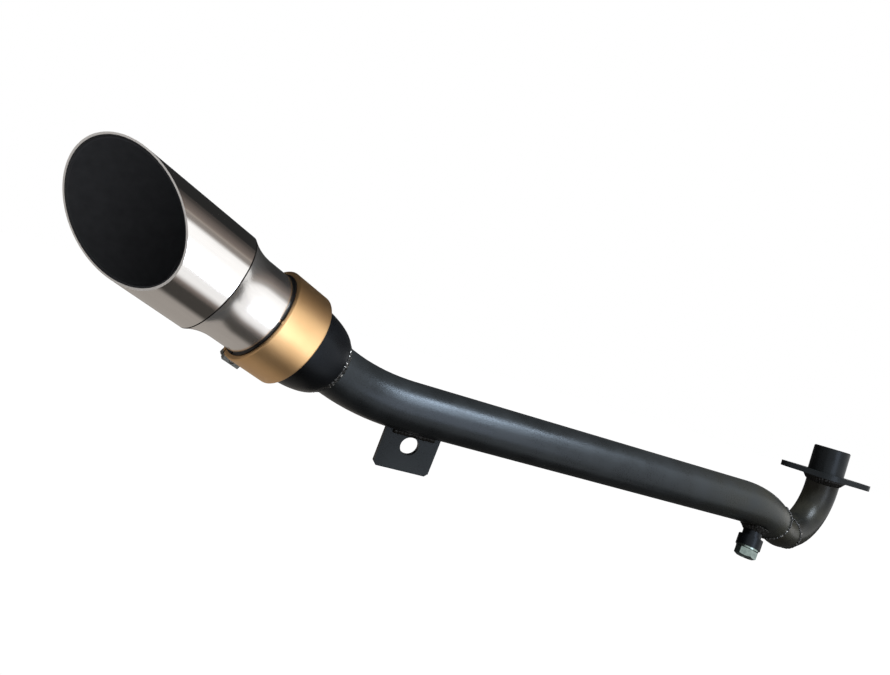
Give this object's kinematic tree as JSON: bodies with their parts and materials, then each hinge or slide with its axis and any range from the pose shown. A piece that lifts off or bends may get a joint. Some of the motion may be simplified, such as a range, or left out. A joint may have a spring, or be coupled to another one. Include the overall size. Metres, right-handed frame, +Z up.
{
  "type": "racing exhaust system",
  "caption": "Slash-cut stainless can muffler held by a gold split clamp on a bent black exhaust pipe with a studded inlet flange, frame tab and plugged sensor bung.",
  "frame": {"origin": "centre of the inlet flange's upper face, on the spigot axis", "axes": "+Z up the inlet spigot, -X along the main pipe toward the muffler, +Y to the side away from the slash opening"},
  "size_m": [0.7686, 0.0885, 0.1724],
  "materials": {
    "satin_black": "heat-proof satin black paint",
    "weld_black": "rough weld under thin black paint",
    "header_black": "black paint with a brown-olive heat tint",
    "zinc": "bright zinc plate",
    "bright_steel": "bright steel",
    "gold_anodised": "satin gold anodised",
    "brushed_stainless": "brushed round the axis",
    "seam_dark": "dark narrow weld line",
    "inner_black": "matt black",
    "core_steel": "sooted perforated steel",
    "glass_wool": "loose yellow glass wool"
  },
  "bodies": {
    "pipe": {"inlet_spigot": "satin_black", "head_flange": "satin_black", "flange_weld": "weld_black", "header_elbow": "header_black", "elbow_seam": "weld_black", "header_link": "header_black", "header_weld": "weld_black", "main_pipe": "satin_black", "sensor_bung": "satin_black", "bung_weld": "weld_black", "frame_tab": "satin_black", "tab_weld": "weld_black", "cone_weld": "weld_black", "bell_socket": "satin_black"},
    "muffler": {"neck_reducer": "brushed_stainless", "can_seam": "seam_dark", "outer_shell": "brushed_stainless", "inner_liner": "inner_black", "front_plate": "inner_black", "rear_plate": "inner_black", "perforated_core": "core_steel", "packing": "glass_wool"},
    "clamp": {"clamp_ring": "gold_anodised"},
    "clamp_washer": {"clamp_washer": "bright_steel"},
    "clamp_screw": {"clamp_screw": "bright_steel"},
    "plug_washer": {"plug_washer": "zinc"},
    "plug": {"plug_bolt": "zinc"}
  },
  "joints": [
    {"name": "muffler_clock", "type": "hinge", "parent": "pipe", "child": "muffler", "pos_m": [-0.60472, -0.00456, -0.00105], "axis": [-0.9148, -0.2041, 0.3486], "continuous": true},
    {"name": "clamp_swivel", "type": "hinge", "parent": "pipe", "child": "clamp", "pos_m": [-0.60472, -0.00456, -0.00105], "axis": [-0.9148, -0.2041, 0.3486], "continuous": true},
    {"name": "screw_travel", "type": "slide", "parent": "clamp", "child": "clamp_washer", "axis": [-0.0716, 0.9312, 0.3575], "range_m": [0, 0.0035]},
    {"name": "screw_turn", "type": "hinge", "parent": "clamp_washer", "child": "clamp_screw", "pos_m": [-0.6124, 0.00739, -0.03371], "axis": [-0.0716, 0.9312, 0.3575], "range_deg": [0, 1804]},
    {"name": "plug_travel", "type": "slide", "parent": "pipe", "child": "plug_washer", "axis": [-0.2441, -0.1358, -0.9602], "range_m": [0, 0.015]},
    {"name": "plug_turn", "type": "hinge", "parent": "plug_washer", "child": "plug", "pos_m": [-0.10563, -0.01755, -0.04966], "axis": [-0.2441, -0.1358, -0.9602], "range_deg": [0, 4324]}
  ],
  "couplings": [
    {"joint": "screw_turn", "follows": "screw_travel", "rad_per_m": 8976},
    {"joint": "plug_turn", "follows": "plug_travel", "rad_per_m": 5026.5}
  ]
}
